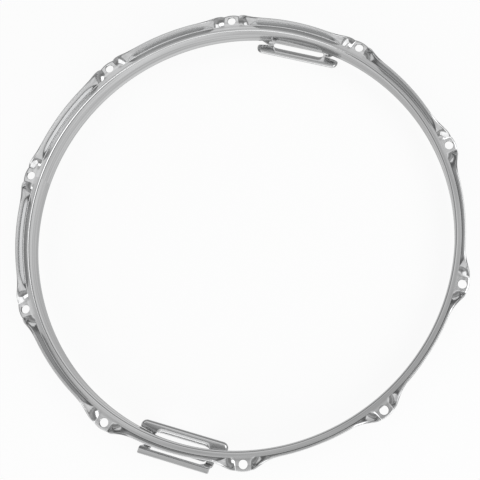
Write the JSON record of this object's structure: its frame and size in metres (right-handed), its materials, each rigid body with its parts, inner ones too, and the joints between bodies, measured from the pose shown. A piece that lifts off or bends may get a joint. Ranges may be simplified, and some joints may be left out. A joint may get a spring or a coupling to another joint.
{
  "type": "drum hoop",
  "caption": "Round flanged steel drum hoop with outward ears for tension rods and a slotted snare guard riveted over a gate at each end of the snares.",
  "frame": {"origin": "on the hoop's axis, level with the undersides of the two snare guards", "axes": "+Z along the hoop's axis towards the ears and the drum; +Y towards the guard at the top of the picture; +X through an ear, to the right in the picture"},
  "size_m": [0.389, 0.3946, 0.044],
  "materials": {
    "hoop_chrome": "polished chrome plate",
    "guard_chrome": "polished chrome plate",
    "rivet_steel": "plated steel"
  },
  "bodies": {
    "root": {"hoop": "hoop_chrome", "snare_guard_north": "guard_chrome", "guard_rivet_north_1": "rivet_steel", "guard_rivet_north_2": "rivet_steel", "guard_rivet_north_3": "rivet_steel", "guard_rivet_north_4": "rivet_steel", "snare_guard_south": "guard_chrome", "guard_rivet_south_1": "rivet_steel", "guard_rivet_south_2": "rivet_steel", "guard_rivet_south_3": "rivet_steel", "guard_rivet_south_4": "rivet_steel"}
  },
  "joints": []
}
